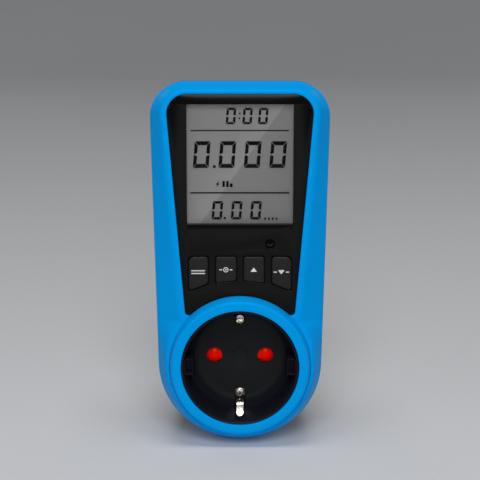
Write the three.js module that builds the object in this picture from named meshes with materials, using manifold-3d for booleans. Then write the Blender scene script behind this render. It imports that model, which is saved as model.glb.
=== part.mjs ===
// A plug-in power meter for a wall socket: a blue front shell with a black display panel and
// four keys above a round socket, and a black rear shell with the plug that goes into the wall.
//
// Units are millimetres. +Z is up, the display faces -Y and the plug's pins point along +Y.
// The origin is the centre of the plug's nose face, halfway between the pins.
// "Depth" is measured backwards from the flat face of the socket ring.

import * as THREE from "three";
import { mergeVertices } from "three/addons/utils/BufferGeometryUtils.js";
import Module from "manifold-3d";

const wasm = await Module();
wasm.setup();

// ---------------------------------------------------------------- driving dimensions

const PIN_SPACING = 19;
const PIN_RADIUS = 2.4;
const PIN_LENGTH = 19;
const WELL_DEPTH = 17.5;

// Depths of the main levels.
const CREST = 3.8; // inner edge of the blue frame
const PANEL_FRONT = 4.6;
const PANEL_BACK = 6.8;
const SHOULDER = 9.1; // outer edge of the sloping frame
const FRONT_WALL_BACK = 9;
const PARTING = 22;
const HOUSING_DEPTH = 40;
const NOSE_LENGTH = 17;
const NOSE_FACE = HOUSING_DEPTH + NOSE_LENGTH;

// The body's outline is the hull of one circle round the socket and two corner circles.
const BODY_RADIUS = 29.97;
const CORNER = { x: 19.65, z: 90.65, radius: 12.5 };
const WALL = 2;
const FRONT_DRAFT = 0.93; // how far the front shell narrows by the parting line
const REAR_STEP = 0.8; // the rear shell stands this far inside the front one

const RING = { inner: 21.5, outer: 25.15, base: 26.05 };

// The black panel: rounded at the top, hollowed at the bottom around the ring.
const PANEL = { cornerX: 18.8, cornerZ: 92.4, cornerRadius: 7.2, arc: 26.1, side: -4.8, fillet: 1.4 };
const PANEL_MARGIN = 0.9; // flat rim of the frame beside the panel
const PANEL_LEDGE = 1.2;

const LCD = { z: 74.2, width: 38, height: 43.2 };
const RESET = { x: 10.84, z: 45.4, radius: 1.4, countersink: 1.85 };
const KEY_GAP = 0.28;
const KEY_PROUD = 0.4;
const KEY_TOP = 40.7;

const WELL = { rim: 20.3, floor: 19.25, outer: 21.25, floorBack: 18.7, rearFace: 19.7 };
const GUIDE_RIB = { inner: 17.3, front: 2.6, halfHeight: 2.95 };
const SHUTTER_FRONT = 18.95;
const CARRIER = { front: 19.8, chamber: 23.4, back: 35.6, radius: 17.2, flat: 16.9 };
const NOSE_RADIUS = 18.4;
const CASE_SCREWS = [
  ["upper_left", -24, 88],
  ["upper_right", 24, 88],
  ["lower_left", -23.5, 20],
  ["lower_right", 23.5, 20],
];
const EAR_X = 23.9;

const POWER_SCREW_Z = 92.5;
const POWER_SCREWS = [
  ["left", -15.5],
  ["right", 15.5],
];
const POWER_POSTS = [
  [-15.5, POWER_SCREW_Z],
  [15.5, POWER_SCREW_Z],
  [-15.5, 31],
  [15.5, 31],
];

const DISPLAY_BOARD = { front: 12, back: 13.6 };
const POWER_BOARD = { front: 28.5, back: 30.1 };

// ---------------------------------------------------------------- solids from geometry

const at = (depth) => depth - NOSE_FACE; // depth to Y
const radians = THREE.MathUtils.degToRad;
const point = (x, z) => new THREE.Vector2(x, z);

// A closed geometry as a manifold-3d solid. A profile drawn clockwise comes out inside out and is turned.
function solid(geometry) {
  const bare = new THREE.BufferGeometry().setAttribute("position", geometry.getAttribute("position"));
  if (geometry.index) bare.setIndex(geometry.index);
  const merged = mergeVertices(bare, 1e-4);
  const vertProperties = merged.attributes.position.array;
  const triVerts = new Uint32Array(merged.index.array);
  const made = new wasm.Manifold(new wasm.Mesh({ numProp: 3, vertProperties, triVerts }));
  if (made.volume() > 0) return made;
  for (let i = 0; i < triVerts.length; i += 3) triVerts.subarray(i, i + 3).reverse();
  return new wasm.Manifold(new wasm.Mesh({ numProp: 3, vertProperties, triVerts }));
}

function geometryOf(made) {
  const mesh = made.getMesh();
  const geometry = new THREE.BufferGeometry();
  geometry.setAttribute("position", new THREE.BufferAttribute(mesh.vertProperties, mesh.numProp));
  geometry.setIndex(new THREE.BufferAttribute(mesh.triVerts, 1));
  return geometry;
}

const joined = (...parts) => parts.reduce((sum, part) => sum.add(part));
const cut = (body, ...tools) => tools.reduce((left, tool) => left.subtract(tool), body);

// An outline in X and Z, made solid between two depths.
function slab(outline, front, back) {
  const shape = outline.isShape ? outline : new THREE.Shape(outline);
  const options = { depth: back - front, bevelEnabled: false };
  const geometry = new THREE.ExtrudeGeometry(shape, options);
  return solid(geometry.rotateX(Math.PI / 2).translate(0, at(back), 0));
}

// An outline in Y (as depth) and Z, made solid across X.
function strip(outline, x, width) {
  const shape = new THREE.Shape(outline);
  const geometry = new THREE.ExtrudeGeometry(shape, { depth: width, bevelEnabled: false });
  const turn = new THREE.Matrix4().set(0, 0, 1, 0, 1, 0, 0, 0, 0, 1, 0, 0, 0, 0, 0, 1);
  return solid(geometry.applyMatrix4(turn).translate(x - width / 2, at(0), 0));
}

function rod(x, z, radius, front, back, sides = 20) {
  const geometry = new THREE.CylinderGeometry(radius, radius, back - front, sides);
  return solid(geometry.translate(x, at((front + back) / 2), z));
}

// front and back radii differ: a countersink or a taper.
function cone(x, z, frontRadius, backRadius, front, back, sides = 20) {
  const geometry = new THREE.CylinderGeometry(backRadius, frontRadius, back - front, sides);
  return solid(geometry.translate(x, at((front + back) / 2), z));
}

function block(x0, x1, front, back, z0, z1) {
  const geometry = new THREE.BoxGeometry(x1 - x0, back - front, z1 - z0);
  return solid(geometry.translate((x0 + x1) / 2, at((front + back) / 2), (z0 + z1) / 2));
}

// A profile of [radius, depth] turned round an axis along Y.
function turned(profile, sides = 48, x = 0, z = 0) {
  const points = profile.map(([radius, depth]) => point(radius, at(depth)));
  return solid(new THREE.LatheGeometry(points, sides).translate(x, 0, z));
}

// Outlines of equal length joined in turn, from the deepest forwards.
function loft(sections) {
  const count = sections[0].outline.length;
  const positions = sections.flatMap(({ depth, outline }) => outline.flatMap((p) => [p.x, at(depth), p.y]));
  const cap = THREE.ShapeUtils.triangulateShape(sections[0].outline, []);
  const frontCap = THREE.ShapeUtils.triangulateShape(sections.at(-1).outline, []);
  const last = (sections.length - 1) * count;
  const index = [...cap.flatMap(([a, b, c]) => [a, c, b])];
  index.push(...frontCap.flat().map((i) => i + last));
  for (let s = 0; s < last; s += count) {
    for (let i = 0; i < count; i++) {
      const next = (i + 1) % count;
      index.push(s + i, s + next, s + count + next, s + i, s + count + next, s + count + i);
    }
  }
  const geometry = new THREE.BufferGeometry();
  geometry.setAttribute("position", new THREE.Float32BufferAttribute(positions, 3));
  return solid(geometry.setIndex(index));
}

// A screw from its tip's depth to the seat under its head. rise is the head's height.
function screw(x, z, { tip, seat, shank, head, rise }) {
  const away = Math.sign(seat - tip);
  const profile = [
    [0, tip],
    [shank * 0.6, tip],
    [shank, tip + away * shank],
    [shank, seat],
    [head, seat],
    [head, seat + away * rise * 0.6],
    [head * 0.76, seat + away * rise],
    [0, seat + away * rise],
  ];
  return turned(profile, 16, x, z);
}

// ---------------------------------------------------------------- outlines

function arc(x, z, radius, from, to, steps) {
  return Array.from({ length: steps + 1 }, (_, i) => {
    const angle = radians(from + ((to - from) * i) / steps);
    return point(x + radius * Math.cos(angle), z + radius * Math.sin(angle));
  });
}

const rectangle = (x0, x1, z0, z1) => [point(x0, z0), point(x1, z0), point(x1, z1), point(x0, z1)];
const mirrored = (outline) => outline.map((p) => point(-p.x, p.y)).reverse();
const between = (a, b, share) => a.map((p, i) => p.clone().lerp(b[i], share));

// The direction in which the body's straight side faces, from the circles that it touches.
const SIDE_ANGLE = THREE.MathUtils.radToDeg(
  Math.atan2(CORNER.z, CORNER.x) -
    Math.acos((BODY_RADIUS - CORNER.radius) / Math.hypot(CORNER.x, CORNER.z)),
);
const BOTTOM_STEPS = 28;
const CORNER_STEPS = 6;
// Heights along the side, closer together where the frame bends round the ring.
const SIDE_HEIGHTS = [4, 8, 12, 16, 20, 27, 46, 68];

// Half of a loop whose other half is its mirror image: right side upwards, then the top corner.
function closedLoop(bottom, side, corner) {
  const right = [...side, ...corner];
  return [...bottom, ...right, ...mirrored(right)];
}

// The body's outline, or one that runs inside it at a fixed distance.
function bodyOutline(inset = 0) {
  const bottom = arc(0, 0, BODY_RADIUS - inset, 180 - SIDE_ANGLE, 360 + SIDE_ANGLE, BOTTOM_STEPS);
  const corner = arc(CORNER.x, CORNER.z, CORNER.radius - inset, SIDE_ANGLE, 90, CORNER_STEPS);
  const foot = bottom.at(-1);
  const side = SIDE_HEIGHTS.map((z) => {
    const share = (z - foot.y) / (corner[0].y - foot.y);
    return foot.clone().lerp(corner[0], share);
  });
  return closedLoop(bottom, side, corner);
}

// X of the panel's straight side at a height, moved inwards by inset.
function panelSide(z, inset = 0) {
  const across = Math.cos(radians(PANEL.side));
  const up = Math.sin(radians(PANEL.side));
  const reach = PANEL.cornerX * across + PANEL.cornerZ * up + PANEL.cornerRadius - inset;
  return (reach - z * up) / across;
}

// The inner edge of the frame's slope, point for point with the body's outline.
function crestOutline() {
  const ring = RING.base + 0.25;
  const bottom = arc(0, 0, ring, 180 - SIDE_ANGLE, 360 + SIDE_ANGLE, BOTTOM_STEPS);
  const side = SIDE_HEIGHTS.map((z) => {
    const round = z < ring ? Math.sqrt(ring * ring - z * z) : 0;
    return point(Math.max(round, panelSide(z, -PANEL_MARGIN)), z);
  });
  const radius = PANEL.cornerRadius + PANEL_MARGIN;
  const corner = arc(PANEL.cornerX, PANEL.cornerZ, radius, PANEL.side, 90, CORNER_STEPS);
  return closedLoop(bottom, side, corner);
}

function panelOutline(inset = 0) {
  const radius = PANEL.arc + inset;
  const across = Math.cos(radians(PANEL.side));
  const up = Math.sin(radians(PANEL.side));
  // The fillet's centre touches the straight side and the arc.
  const reach = panelSide(0, inset) * across - PANEL.fillet;
  const along = Math.sqrt((radius + PANEL.fillet) ** 2 - reach ** 2);
  const fillet = point(across * reach - up * along, up * reach + across * along);
  const towards = THREE.MathUtils.radToDeg(Math.atan2(-fillet.y, -fillet.x));
  const foot = arc(fillet.x, fillet.y, PANEL.fillet, towards, PANEL.side, 5);
  const corner = arc(PANEL.cornerX, PANEL.cornerZ, PANEL.cornerRadius - inset, PANEL.side, 90, 8);
  const right = [...foot, ...corner];
  const rise = 180 + towards;
  const bottom = arc(0, 0, radius, 180 - rise, rise, 20).slice(1, -1);
  return [...right, ...mirrored(right), ...bottom];
}

// A polygon with each side moved outwards by a distance.
function grown(corners, distance) {
  const count = corners.length;
  return corners.map((corner, i) => {
    const before = corner.clone().sub(corners[(i + count - 1) % count]).normalize();
    const after = corners[(i + 1) % count].clone().sub(corner).normalize();
    const outward = point(before.y + after.y, -before.x - after.x);
    return corner.clone().addScaledVector(outward, distance / (1 + before.dot(after)));
  });
}

// A polygon with rounded corners; a radius for each corner.
function rounded(corners, radii, steps = 4) {
  const count = corners.length;
  return corners.flatMap((corner, i) => {
    const start = corner.clone().lerp(corners[(i + count - 1) % count], 0);
    start.add(corners[(i + count - 1) % count].clone().sub(corner).setLength(radii[i]));
    const end = corner.clone().add(corners[(i + 1) % count].clone().sub(corner).setLength(radii[i]));
    return new THREE.QuadraticBezierCurve(start, corner, end).getPoints(steps);
  });
}

// A smooth line of [z, depth] points thickened on both sides, as an outline for strip().
function band(line, thickness, steps) {
  const curve = new THREE.SplineCurve(line.map(([z, depth]) => point(depth, z)));
  const side = (sign) =>
    Array.from({ length: steps + 1 }, (_, i) => {
      const tangent = curve.getTangent(i / steps);
      const normal = point(-tangent.y, tangent.x).multiplyScalar((sign * thickness) / 2);
      return curve.getPoint(i / steps).add(normal);
    });
  return [...side(1), ...side(-1).reverse()];
}

// ---------------------------------------------------------------- materials and the assembly

const MATERIALS = {
  blue_plastic: [0x0a84d6, 0.38, 0],
  black_gloss: [0x141414, 0.22, 0],
  black_plastic: [0x161719, 0.5, 0],
  key_plastic: [0x202021, 0.45, 0],
  clear_lens: [0xdfe6e8, 0.08, 0],
  lcd_glass: [0x7c7f7d, 0.25, 0],
  reflector_film: [0xc9cdca, 0.4, 0],
  white_plastic: [0xd8d8d2, 0.55, 0],
  red_plastic: [0xe01208, 0.4, 0],
  nickel: [0xc9c8c2, 0.22, 1],
  brass: [0xc8a45a, 0.3, 1],
  steel: [0x9a9c9e, 0.35, 1],
  circuit_board: [0x1f5b34, 0.5, 0],
  grey_rubber: [0x55585a, 0.8, 0],
  yellow_plastic: [0xe0b62c, 0.5, 0],
  blue_sleeve: [0x2a4fa0, 0.45, 0],
  green_sleeve: [0x3b8f4a, 0.45, 0],
  brown_sleeve: [0x6a3a1c, 0.5, 0],
  copper_alloy: [0xa8734a, 0.35, 1],
  label_film: [0xb9bcbf, 0.5, 0],
};

const meter = new THREE.Group();

function subassembly(name) {
  const group = new THREE.Group();
  group.name = name;
  meter.add(group);
  return group;
}

// Puts a finished piece in its group, with its own origin at its middle.
function place(group, name, finish, made) {
  const [color, roughness, metalness] = MATERIALS[finish];
  const geometry = geometryOf(made);
  geometry.computeBoundingBox();
  const middle = geometry.boundingBox.getCenter(new THREE.Vector3());
  geometry.translate(-middle.x, -middle.y, -middle.z);
  const mesh = new THREE.Mesh(geometry, new THREE.MeshStandardMaterial({ color, roughness, metalness }));
  mesh.name = name;
  mesh.position.copy(middle);
  group.add(mesh);
}

// ---------------------------------------------------------------- housing

function frontShell() {
  const outer = bodyOutline();
  const edge = bodyOutline(0.35);
  const crest = crestOutline();
  // The slope is straight, then rounds over into the rim beside the panel.
  const slope = [
    [0, SHOULDER],
    [0.7, 4.6],
    [0.86, 3.95],
    [1, CREST],
  ];
  const skin = loft([
    { depth: PARTING, outline: bodyOutline(FRONT_DRAFT) },
    { depth: SHOULDER + 1.3, outline: outer },
    { depth: SHOULDER + 0.35, outline: bodyOutline(0.08) },
    ...slope.map(([share, depth]) => ({ depth, outline: between(edge, crest, share) })),
  ]);
  const ring = turned(
    [
      [RING.inner, 0.3],
      [RING.inner + 0.3, 0],
      [RING.outer - 0.85, 0],
      [RING.outer - 0.25, 0.25],
      [RING.outer, 0.8],
      [RING.base, CREST + 0.6],
      [RING.base, FRONT_WALL_BACK],
      [RING.inner, FRONT_WALL_BACK],
      [RING.inner, 0.3],
    ],
    56,
  );
  const cavity = loft([
    { depth: PARTING + 0.1, outline: bodyOutline(FRONT_DRAFT + WALL) },
    { depth: 12.4, outline: bodyOutline(WALL) },
    { depth: FRONT_WALL_BACK, outline: bodyOutline(WALL + 1.5) },
  ]);
  const hollow = cut(
    skin.add(ring),
    cavity,
    slab(panelOutline(), -1, PANEL_BACK + 0.2),
    slab(panelOutline(PANEL_LEDGE), PANEL_BACK, FRONT_WALL_BACK + 1),
    rod(0, 0, RING.inner, -1, FRONT_WALL_BACK + 1, 56),
  );
  const bosses = CASE_SCREWS.map(([, x, z]) => rod(x, z, 2.4, FRONT_WALL_BACK - 0.4, 20));
  const earBosses = [-EAR_X, EAR_X].map((x) => rod(x, 0, 2.2, FRONT_WALL_BACK - 0.4, 16.1));
  const pilots = [
    ...CASE_SCREWS.map(([, x, z]) => rod(x, z, 1.3, FRONT_WALL_BACK + 1, 21, 12)),
    ...[-EAR_X, EAR_X].map((x) => rod(x, 0, 1, FRONT_WALL_BACK + 1, 17, 12)),
  ];
  return cut(joined(hollow, ...bosses, ...earBosses), ...pilots);
}

function rearShell() {
  const start = FRONT_DRAFT + REAR_STEP;
  const skin = loft([
    { depth: HOUSING_DEPTH, outline: bodyOutline(start + 4.4) },
    { depth: 39.6, outline: bodyOutline(start + 3) },
    { depth: 38.5, outline: bodyOutline(start + 1.9) },
    { depth: 36.5, outline: bodyOutline(start + 1.2) },
    { depth: PARTING + 0.4, outline: bodyOutline(start) },
  ]);
  const lip = loft([
    { depth: PARTING + 1, outline: bodyOutline(FRONT_DRAFT + WALL + 0.35) },
    { depth: PARTING - 1.6, outline: bodyOutline(FRONT_DRAFT + WALL + 0.35) },
  ]);
  const cavity = loft([
    { depth: HOUSING_DEPTH - WALL, outline: bodyOutline(start + 4.4) },
    { depth: 36.5, outline: bodyOutline(start + 3.2) },
    { depth: PARTING - 2, outline: bodyOutline(FRONT_DRAFT + WALL + 1.5) },
  ]);
  const bosses = CASE_SCREWS.map(([, x, z]) => rod(x, z, 3.8, 20.4, HOUSING_DEPTH - 1).intersect(skin.add(lip)));
  const screwHoles = CASE_SCREWS.flatMap(([, x, z]) => [
    rod(x, z, 1.6, 19, HOUSING_DEPTH + 1, 16),
    rod(x, z, 2.8, 34, HOUSING_DEPTH + 1),
  ]);
  const posts = POWER_POSTS.map(([x, z]) => rod(x, z, 2, POWER_BOARD.back + 0.1, HOUSING_DEPTH - 1, 16));
  const pilots = POWER_SCREWS.map(([, x]) => rod(x, POWER_SCREW_Z, 0.85, 29, 36.5, 12));
  const noseHole = rod(0, 0, NOSE_RADIUS + 0.35, HOUSING_DEPTH - 3, HOUSING_DEPTH + 1, 48);
  return cut(joined(cut(skin.add(lip), cavity), ...bosses, ...posts), ...screwHoles, ...pilots, noseHole);
}

function caseScrew(x, z) {
  const cross = [
    block(x - 1.4, x + 1.4, 35, 36, z - 0.3, z + 0.3),
    block(x - 0.3, x + 0.3, 35, 36, z - 1.4, z + 1.4),
  ];
  return cut(screw(x, z, { tip: 12.5, seat: 34.05, shank: 1.2, head: 2.5, rise: 1.6 }), ...cross);
}

function ratingLabel() {
  return slab(rounded(rectangle(-15, 15, 36, 76), [1.5, 1.5, 1.5, 1.5]), 40.02, 40.2);
}

// ---------------------------------------------------------------- panel, display and keys

const INNER_KEY = [point(1.35, 31.9), point(8.7, 31), point(8.7, KEY_TOP), point(1.35, KEY_TOP)];
const OUTER_KEY = [point(11.5, 30.9), point(18.5, 28), point(18.5, KEY_TOP), point(11.5, KEY_TOP)];
const INNER_RADII = [0.5, 0.5, 0.4, 0.4];
const OUTER_RADII = [0.7, 1.2, 1.5, 0.8];
const KEYS = [
  { name: "function", corners: mirrored(OUTER_KEY), radii: [...OUTER_RADII].reverse(), x: -15, z: 35.5 },
  { name: "cost", corners: mirrored(INNER_KEY), radii: [...INNER_RADII].reverse(), x: -5, z: 36.2 },
  { name: "up", corners: INNER_KEY, radii: INNER_RADII, x: 5, z: 36.2 },
  { name: "down", corners: OUTER_KEY, radii: OUTER_RADII, x: 15, z: 35.5 },
];

function fasciaPanel() {
  const halfWidth = LCD.width / 2;
  const halfHeight = LCD.height / 2;
  const window = rectangle(-halfWidth, halfWidth, LCD.z - halfHeight, LCD.z + halfHeight);
  const posts = BOARD_POSTS.map(([x, z]) => rod(x, z, 1.6, PANEL_BACK - 0.2, DISPLAY_BOARD.front - 0.1, 16));
  const pilots = BOARD_SCREWS.map(([, x]) => rod(x, BOARD_SCREW_Z, 0.75, PANEL_BACK + 0.5, 13, 12));
  const keyHoles = KEYS.map(({ corners, radii }) =>
    slab(rounded(grown(corners, KEY_GAP), radii), PANEL_FRONT - 1, PANEL_BACK + 1),
  );
  return cut(
    joined(slab(panelOutline(0.2), PANEL_FRONT, PANEL_BACK), ...posts),
    ...pilots,
    slab(window, PANEL_FRONT - 1, PANEL_BACK + 1),
    ...keyHoles,
    rod(RESET.x, RESET.z, RESET.radius, PANEL_FRONT - 1, PANEL_BACK + 1),
    cone(RESET.x, RESET.z, RESET.countersink, RESET.radius, PANEL_FRONT - 0.05, PANEL_FRONT + 0.6),
  );
}

const BOARD_SCREW_Z = 47;
const BOARD_SCREWS = [
  ["left", -16.5],
  ["right", 16.5],
];
const BOARD_POSTS = [
  [-16.5, BOARD_SCREW_Z],
  [16.5, BOARD_SCREW_Z],
  [-17.5, 25.2],
  [17.5, 25.2],
];

function lcdPlate(extraWidth, extraHeight, front, back) {
  const halfWidth = LCD.width / 2 + extraWidth;
  const halfHeight = LCD.height / 2 + extraHeight;
  return block(-halfWidth, halfWidth, front, back, LCD.z - halfHeight, LCD.z + halfHeight);
}

function lcdHolder() {
  return cut(
    lcdPlate(2, 1.7, 7.1, 11.8),
    lcdPlate(0.9, 1.2, 7, 10.1),
    lcdPlate(-3, -3, 9, 12),
    block(-18, 18, 10, 12, LCD.z - 21.4, LCD.z - 19.1),
  );
}

// The rubber that joins the lower edge of the display's cell to its board.
function zebraStrip() {
  return block(-17.6, 17.6, 10, 11.95, LCD.z - 21.1, LCD.z - 19.4);
}

function key({ corners, radii, x, z }) {
  const cap = slab(rounded(corners, radii), PANEL_FRONT - KEY_PROUD, PANEL_BACK + 0.4);
  const flange = slab(rounded(grown(corners, 0.75), radii), PANEL_BACK + 0.3, PANEL_BACK + 1.1);
  return joined(cap, flange, rod(x, z, 1.5, PANEL_BACK + 1, 8.3));
}

function tactSwitch(x, z, side, height) {
  const front = DISPLAY_BOARD.front - 0.05 - height;
  const housing = block(x - side / 2, x + side / 2, front, DISPLAY_BOARD.front - 0.05, z - side / 2, z + side / 2);
  return cut(housing, rod(x, z, 1.3, front - 1, front + 2));
}

function displayBoard() {
  const outline = rounded(rectangle(-20.6, 20.6, 23.3, 98.2), [2, 2, 4, 4]);
  const holes = BOARD_SCREWS.map(([, x]) => rod(x, BOARD_SCREW_Z, 1, 11, 15, 12));
  return cut(slab(outline, DISPLAY_BOARD.front, DISPLAY_BOARD.back), ...holes);
}

// ---------------------------------------------------------------- socket

function socketInsert() {
  const cup = turned(
    [
      [0, WELL_DEPTH + 0.25],
      [3.1, WELL_DEPTH + 0.25],
      [3.1, WELL_DEPTH],
      [WELL.floor - 3.6, WELL_DEPTH],
      [WELL.floor - 2.6, WELL_DEPTH - 0.55],
      [WELL.floor - 0.6, WELL_DEPTH - 2.9],
      [WELL.floor, WELL_DEPTH - 4.2],
      [WELL.rim, 1.4],
      [WELL.rim + 0.5, 0.5],
      [WELL.outer, 0.5],
      [WELL.outer, WELL.rearFace],
      [13.2, WELL.rearFace],
      [13.2, WELL.floorBack],
      [0, WELL.floorBack],
      [0, WELL_DEPTH + 0.25],
    ],
    48,
  );
  const { inner, front, halfHeight } = GUIDE_RIB;
  const ribs = [-1, 1].map((side) => {
    const ends = [side * inner, side * 20.6].sort((a, b) => a - b);
    const pocket = [side * (inner + 0.3), side * (inner + 2.6)].sort((a, b) => a - b);
    return cut(
      block(...ends, front, WELL_DEPTH + 0.5, -halfHeight, halfHeight),
      block(...pocket, front - 1, front + 6, 0.4 - halfHeight, halfHeight - 0.3),
    );
  });
  const ears = [-1, 1].flatMap((side) => {
    const ends = [side * 20.6, side * EAR_X].sort((a, b) => a - b);
    return [block(...ends, 16.3, 18.3, -2.2, 2.2), rod(side * EAR_X, 0, 2.2, 16.3, 18.3)];
  });
  const pivot = rod(0, 0, 1.5, WELL.floorBack - 0.1, 22);
  const slots = [-1, 1].flatMap((side) => {
    const wall = [side * 15, side * 21.6].sort((a, b) => a - b);
    const root = [side * 16, side * 20.3].sort((a, b) => a - b);
    const foot = [side * 12.8, side * 16.5].sort((a, b) => a - b);
    return [
      block(-2.1, 2.1, 12.5, WELL_DEPTH - 0.01, ...wall),
      block(-2.1, 2.1, WELL_DEPTH - 0.6, WELL.rearFace - 0.4, ...root),
      block(-2, 2, WELL_DEPTH - 0.6, WELL.rearFace + 1, ...foot),
    ];
  });
  const holes = [-1, 1].flatMap((side) => [
    rod((side * PIN_SPACING) / 2, 0, 3, WELL_DEPTH - 1, WELL.rearFace),
    rod(side * EAR_X, 0, 1.1, 16, 19, 16),
  ]);
  const pilot = rod(0, 0, 0.75, 19.4, 23, 12);
  return cut(joined(cup, ...ribs, ...ears, pivot), ...slots, ...holes, pilot);
}

// The child-safety shutter: two ramped pads on a bar that turns about the socket's centre.
function safetyShutter() {
  const back = SHUTTER_FRONT + 1.7;
  const arm = slab(rounded(rectangle(-8, 8, -1.9, 1.9), [1, 1, 1, 1]), SHUTTER_FRONT + 0.2, back);
  const pads = [-1, 1].map((side) => {
    const x = (side * PIN_SPACING) / 2;
    const pad = rod(x, 0, 3.3, SHUTTER_FRONT, back, 32);
    const ramp = [
      point(SHUTTER_FRONT - 0.1, -side * 3.4),
      point(SHUTTER_FRONT + 1.1, -side * 3.4),
      point(SHUTTER_FRONT - 0.1, side * 1.4),
    ];
    return cut(pad, strip(side > 0 ? ramp : [...ramp].reverse(), x, 7));
  });
  const hub = rod(0, 0, 3.1, SHUTTER_FRONT, back, 32);
  return cut(joined(arm, hub, ...pads), rod(0, 0, 1.62, 18, 24, 32));
}

function shutterSpring() {
  const turns = 2.25;
  const radius = 2.35;
  const pitch = 0.5;
  const steps = 12 * turns;
  const coil = Array.from({ length: steps + 1 }, (_, i) => {
    const angle = (i / 12) * 2 * Math.PI;
    return new THREE.Vector3(radius * Math.cos(angle), at(20.95 + (pitch * i) / 12), radius * Math.sin(angle));
  });
  return wire([...coil, new THREE.Vector3(-3.6, at(22.1), radius + 0.2)], 0.2, steps + 4, 6);
}

// The spring blade of an earth contact, bowed towards the plug. side is 1 above, -1 below.
function earthClip(side) {
  const line = [
    [19.1, 19],
    [19, 16.4],
    [17.9, 13.4],
    [15.6, 11],
    [14.65, 9],
    [15.4, 7.2],
    [17.6, 5.2],
    [19.1, 4.3],
  ];
  return strip(band(line.map(([z, depth]) => [side * z, depth]), 0.5, 24), 0, 2.8);
}

// The fixed strap: a foot in the floor's slot, then back along the carrier and out beside the nose.
function earthStrap(side) {
  const outline = [
    [13.1, 18.1],
    [16.2, 18.1],
    [16.2, 20.45],
    [19.6, 20.45],
    [19.6, 21.4],
    [18.25, 22.8],
    [18.25, 54.2],
    [17.55, 55],
    [17.55, 22.5],
    [18.8, 21.1],
    [15.55, 21.1],
    [15.55, 18.75],
    [13.1, 18.75],
  ];
  return strip(outline.map(([z, depth]) => point(depth, side * z)), 0, 3.2);
}

// A split sleeve that grips one plug pin, with a tab upwards for its lead.
function pinContact(x) {
  const sleeve = cut(rod(x, 0, 3.2, 24, 35, 24), rod(x, 0, PIN_RADIUS + 0.05, 23, 36, 24));
  const slit = block(x - 0.6, x + 0.6, 23, 36, -4, 0);
  const tab = block(x - 2, x + 2, 30, 30.8, 2.8, 18.6);
  return joined(cut(sleeve, slit), tab);
}

function contactCarrier() {
  const round = rod(0, 0, CARRIER.radius, CARRIER.front, CARRIER.back, 48);
  const flats = [-1, 1].map((side) => {
    const span = [side * CARRIER.flat, side * 20].sort((a, b) => a - b);
    return block(-20, 20, 19, 37, ...span);
  });
  const pockets = [-1, 1].flatMap((side) => {
    const x = (side * PIN_SPACING) / 2;
    return [rod(x, 0, 3.5, 23, 37), block(x - 2.3, x + 2.3, 29.7, 37, 2, 20)];
  });
  const notches = [-1, 1].map((side) => {
    const span = [side * 12, side * 18].sort((a, b) => a - b);
    return block(-2.3, 2.3, 19, 22, ...span);
  });
  return cut(round, ...flats, rod(0, 0, 13.4, 19, CARRIER.chamber, 40), ...pockets, ...notches);
}

// ---------------------------------------------------------------- plug

function plugNose() {
  const body = turned(
    [
      [0, NOSE_FACE],
      [0, NOSE_FACE - 2.4],
      [15.9, NOSE_FACE - 2.4],
      [15.9, 35.9],
      [20.6, 35.9],
      [20.6, 37.7],
      [NOSE_RADIUS, 37.7],
      [NOSE_RADIUS, NOSE_FACE - 1.6],
      [NOSE_RADIUS - 0.5, NOSE_FACE - 0.5],
      [NOSE_RADIUS - 1.6, NOSE_FACE],
      [0, NOSE_FACE],
    ],
    48,
  );
  const grooves = [-1, 1].flatMap((side) => {
    const across = [side * 16.5, side * 22].sort((a, b) => a - b);
    const upright = [side * 17.2, side * 22].sort((a, b) => a - b);
    return [
      block(...across, HOUSING_DEPTH + 0.3, NOSE_FACE + 1, -3.7, 3.7),
      block(-2.4, 2.4, 35, NOSE_FACE - 1.4, ...upright),
    ];
  });
  const pinHoles = [-1, 1].map((side) => rod((side * PIN_SPACING) / 2, 0, PIN_RADIUS + 0.05, 54, 58));
  return cut(body, ...grooves, ...pinHoles);
}

function plugPin(x) {
  const tip = NOSE_FACE + PIN_LENGTH;
  return turned(
    [
      [0, tip],
      [0, 37.4],
      [1.6, 37.4],
      [1.6, 50],
      [3.3, 50],
      [3.3, NOSE_FACE - 2.6],
      [PIN_RADIUS, NOSE_FACE - 2.6],
      [PIN_RADIUS, tip - 2.2],
      [PIN_RADIUS - 0.3, tip - 1.2],
      [PIN_RADIUS - 1, tip - 0.4],
      [1, tip],
      [0, tip],
    ],
    24,
    x,
    0,
  );
}

// ---------------------------------------------------------------- electronics and leads

function wire(points, radius, steps, sides = 8) {
  const section = new THREE.Shape(
    Array.from({ length: sides }, (_, i) => {
      const angle = (i / sides) * 2 * Math.PI;
      return point(radius * Math.cos(angle), radius * Math.sin(angle));
    }),
  );
  const extrudePath = new THREE.CatmullRomCurve3(points);
  return solid(new THREE.ExtrudeGeometry(section, { steps, extrudePath, bevelEnabled: false }));
}

function lead(x) {
  const route = [
    [x, 31.9, 16.6],
    [x, 32, 20.5],
    [x * 1.05, 30.6, 23.2],
    [x * 1.1, 28, 24.4],
    [x * 1.15, 26.4, 26.8],
    [x * 1.15, 27.2, 29.2],
  ];
  return wire(route.map(([px, depth, z]) => new THREE.Vector3(px, at(depth), z)), 1, 18);
}

function ribbonCable() {
  const line = [
    [31.5, 13.8],
    [30, 16],
    [29.6, 20],
    [30.6, 25],
    [32.5, 28.3],
  ];
  return strip(band(line, 0.5, 14), 0, 12);
}

function powerBoard() {
  const outline = rounded(rectangle(-19.2, 19.2, 26, 96), [2, 2, 3, 3]);
  const holes = POWER_SCREWS.map(([, x]) => rod(x, POWER_SCREW_Z, 1.2, 28, 31, 12));
  return cut(slab(outline, POWER_BOARD.front, POWER_BOARD.back), ...holes);
}

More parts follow.
